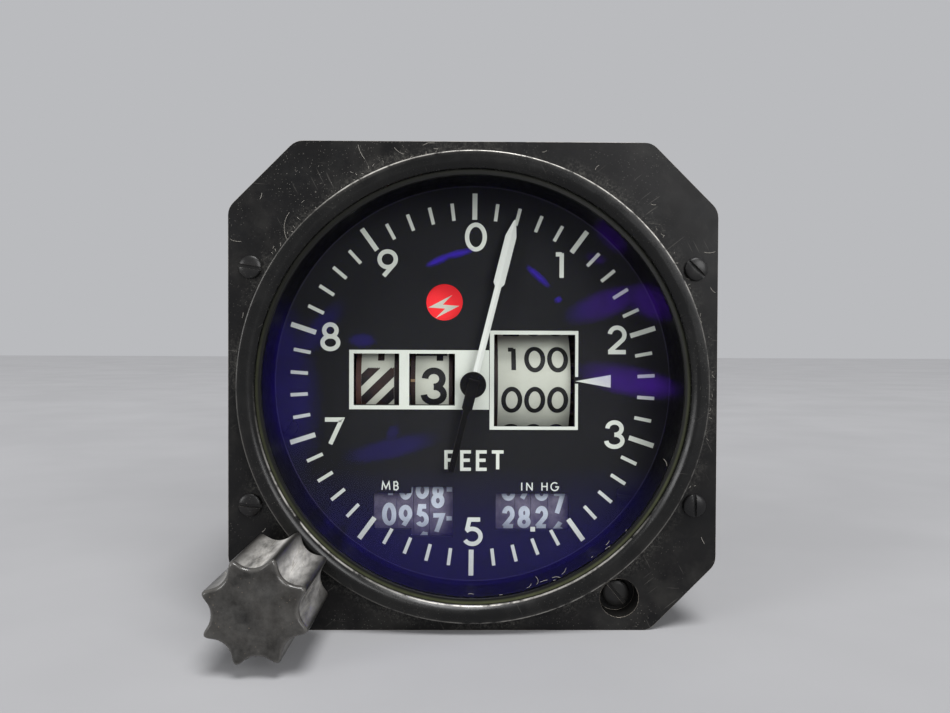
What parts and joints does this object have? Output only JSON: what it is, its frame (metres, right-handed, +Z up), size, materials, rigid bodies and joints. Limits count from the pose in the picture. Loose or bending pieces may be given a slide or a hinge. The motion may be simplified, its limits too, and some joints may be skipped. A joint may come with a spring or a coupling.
{
  "type": "aircraft altimeter",
  "caption": "Square-flanged panel altimeter with a round glazed dial, pointer, altitude drums, pressure counters, a power flag and a fluted setting knob, on a long box case.",
  "frame": {"origin": "centre of the flange's rear face, on the dial's axis", "axes": "+X right seen from the front, +Z up, +Y into the panel along the dial's axis"},
  "size_m": [0.0826, 0.1906, 0.0826],
  "materials": {
    "black_paint": "satin",
    "dial_black": "matte",
    "window_glass": "coated",
    "seal": "satin",
    "knob_plastic": "satin",
    "white_drum": "matte",
    "violet_drum": "matte",
    "pointer_white": "matte",
    "flag_red": "matte",
    "black_screw": "satin",
    "steel": "satin",
    "brass": "satin",
    "frame_metal": "satin",
    "coil_brown": "varnished",
    "board_green": "satin",
    "connector_metal": "satin",
    "connector_rubber": "matte"
  },
  "bodies": {
    "housing": {"bezel_flange": "black_paint", "bezel_ring": "black_paint", "glass_gasket": "seal", "glass": "window_glass", "spacer_ring": "dial_black", "dial": "dial_black", "dial_screws": "dial_black", "counter_frame": "frame_metal", "mid_plate": "frame_metal", "rear_plate": "frame_metal", "pillars": "brass", "counter_axles": "steel", "baro_axle": "steel", "servo_motor": "frame_metal", "flag_coil": "coil_brown", "knob_bush": "black_screw", "flange_screws": "black_screw", "clamp_screw": "black_screw", "case": "black_paint", "rear_cover": "black_paint", "rear_cover_screws": "steel", "connector_shell": "connector_metal", "connector_insert": "connector_rubber", "connector_pins": "brass", "connector_screws": "steel", "static_port": "brass", "aneroid_capsules": "brass", "capsule_bracket": "frame_metal", "pickoff": "coil_brown", "circuit_boards": "board_green"},
    "altitude_hand": {"pointer": "pointer_white", "pointer_hub": "dial_black", "pointer_shaft": "steel", "pointer_gear": "brass", "pointer_mitre": "brass"},
    "motor_shaft": {"motor_pinion": "steel"},
    "cross_shaft": {"cross_shaft": "steel", "cross_mitre": "brass", "cross_gear": "brass"},
    "hundreds_drum": {"hundreds_drum": "white_drum"},
    "thousands_drum": {"thousands_drum": "white_drum"},
    "ten_thousands_drum": {"ten_thousands_drum": "white_drum"},
    "power_flag": {"power_flag": "flag_red"},
    "baro_knob": {"baro_knob": "knob_plastic", "knob_set_screw": "black_screw", "knob_shaft": "steel", "knob_mitre": "brass"},
    "baro_shaft": {"baro_shaft": "steel", "baro_mitre": "brass", "baro_gears": "brass"},
    "mb_thousands": {"mb_thousands": "violet_drum"},
    "mb_hundreds": {"mb_hundreds": "violet_drum"},
    "mb_tens": {"mb_tens": "violet_drum"},
    "mb_units": {"mb_units": "violet_drum"},
    "hg_tens": {"hg_tens": "violet_drum"},
    "hg_units": {"hg_units": "violet_drum"},
    "hg_tenths": {"hg_tenths": "violet_drum"},
    "hg_hundredths": {"hg_hundredths": "violet_drum"}
  },
  "joints": [
    {"name": "altitude_turn", "type": "hinge", "parent": "housing", "child": "altitude_hand", "pos_m": [0, 0.01, 0], "axis": [0, 1, 0], "continuous": true},
    {"name": "motor_turn", "type": "hinge", "parent": "housing", "child": "motor_shaft", "pos_m": [0, 0.031, 0.018], "axis": [0, 1, 0], "continuous": true},
    {"name": "cross_turn", "type": "hinge", "parent": "housing", "child": "cross_shaft", "pos_m": [0, 0.04, 0], "axis": [1, 0, 0], "continuous": true},
    {"name": "hundreds_turn", "type": "hinge", "parent": "housing", "child": "hundreds_drum", "pos_m": [0.011, 0.017, 0], "axis": [1, 0, 0], "continuous": true},
    {"name": "thousands_turn", "type": "hinge", "parent": "housing", "child": "thousands_drum", "pos_m": [-0.0075, 0.017, 0], "axis": [1, 0, 0], "continuous": true},
    {"name": "ten_thousands_turn", "type": "hinge", "parent": "housing", "child": "ten_thousands_drum", "pos_m": [-0.0174, 0.017, 0], "axis": [1, 0, 0], "continuous": true},
    {"name": "knob_turn", "type": "hinge", "parent": "housing", "child": "baro_knob", "pos_m": [-0.0314, 0, -0.0314], "axis": [0, 1, 0], "continuous": true},
    {"name": "baro_shaft_turn", "type": "hinge", "parent": "housing", "child": "baro_shaft", "pos_m": [0, 0.019, -0.0314], "axis": [1, 0, 0], "continuous": true},
    {"name": "hg_hundredths_turn", "type": "hinge", "parent": "housing", "child": "hg_hundredths", "pos_m": [0.0157, 0.0133, -0.0228], "axis": [1, 0, 0], "continuous": true},
    {"name": "hg_tenths_turn", "type": "hinge", "parent": "housing", "child": "hg_tenths", "pos_m": [0.0122, 0.0133, -0.0228], "axis": [1, 0, 0], "continuous": true},
    {"name": "hg_units_turn", "type": "hinge", "parent": "housing", "child": "hg_units", "pos_m": [0.0092, 0.0133, -0.0228], "axis": [1, 0, 0], "continuous": true},
    {"name": "hg_tens_turn", "type": "hinge", "parent": "housing", "child": "hg_tens", "pos_m": [0.0059, 0.0133, -0.0228], "axis": [1, 0, 0], "continuous": true},
    {"name": "mb_units_turn", "type": "hinge", "parent": "housing", "child": "mb_units", "pos_m": [-0.0057, 0.0133, -0.0228], "axis": [1, 0, 0], "continuous": true},
    {"name": "mb_tens_turn", "type": "hinge", "parent": "housing", "child": "mb_tens", "pos_m": [-0.0093, 0.0133, -0.0228], "axis": [1, 0, 0], "continuous": true},
    {"name": "mb_hundreds_turn", "type": "hinge", "parent": "housing", "child": "mb_hundreds", "pos_m": [-0.0123, 0.0133, -0.0228], "axis": [1, 0, 0], "continuous": true},
    {"name": "mb_thousands_turn", "type": "hinge", "parent": "housing", "child": "mb_thousands", "pos_m": [-0.0159, 0.0133, -0.0228], "axis": [1, 0, 0], "continuous": true},
    {"name": "flag_swing", "type": "hinge", "parent": "housing", "child": "power_flag", "pos_m": [-0.0052, 0.008, 0.0278], "axis": [0, 1, 0], "range_deg": [0, 40]}
  ],
  "couplings": [
    {"joint": "motor_turn", "follows": "altitude_turn", "ratio": -4},
    {"joint": "cross_turn", "follows": "altitude_turn", "ratio": -1},
    {"joint": "hundreds_turn", "follows": "altitude_turn", "ratio": 1},
    {"joint": "thousands_turn", "follows": "altitude_turn", "ratio": 0.1},
    {"joint": "ten_thousands_turn", "follows": "altitude_turn", "ratio": 0.01},
    {"joint": "baro_shaft_turn", "follows": "knob_turn", "ratio": -1},
    {"joint": "hg_hundredths_turn", "follows": "knob_turn", "ratio": 1.25},
    {"joint": "hg_tenths_turn", "follows": "knob_turn", "ratio": 0.125},
    {"joint": "hg_units_turn", "follows": "knob_turn", "ratio": 0.0125},
    {"joint": "hg_tens_turn", "follows": "knob_turn", "ratio": 0.00125},
    {"joint": "mb_units_turn", "follows": "knob_turn", "ratio": 0.42308},
    {"joint": "mb_tens_turn", "follows": "knob_turn", "ratio": 0.042308},
    {"joint": "mb_hundreds_turn", "follows": "knob_turn", "ratio": 0.0042308},
    {"joint": "mb_thousands_turn", "follows": "knob_turn", "ratio": 0.00042308}
  ]
}
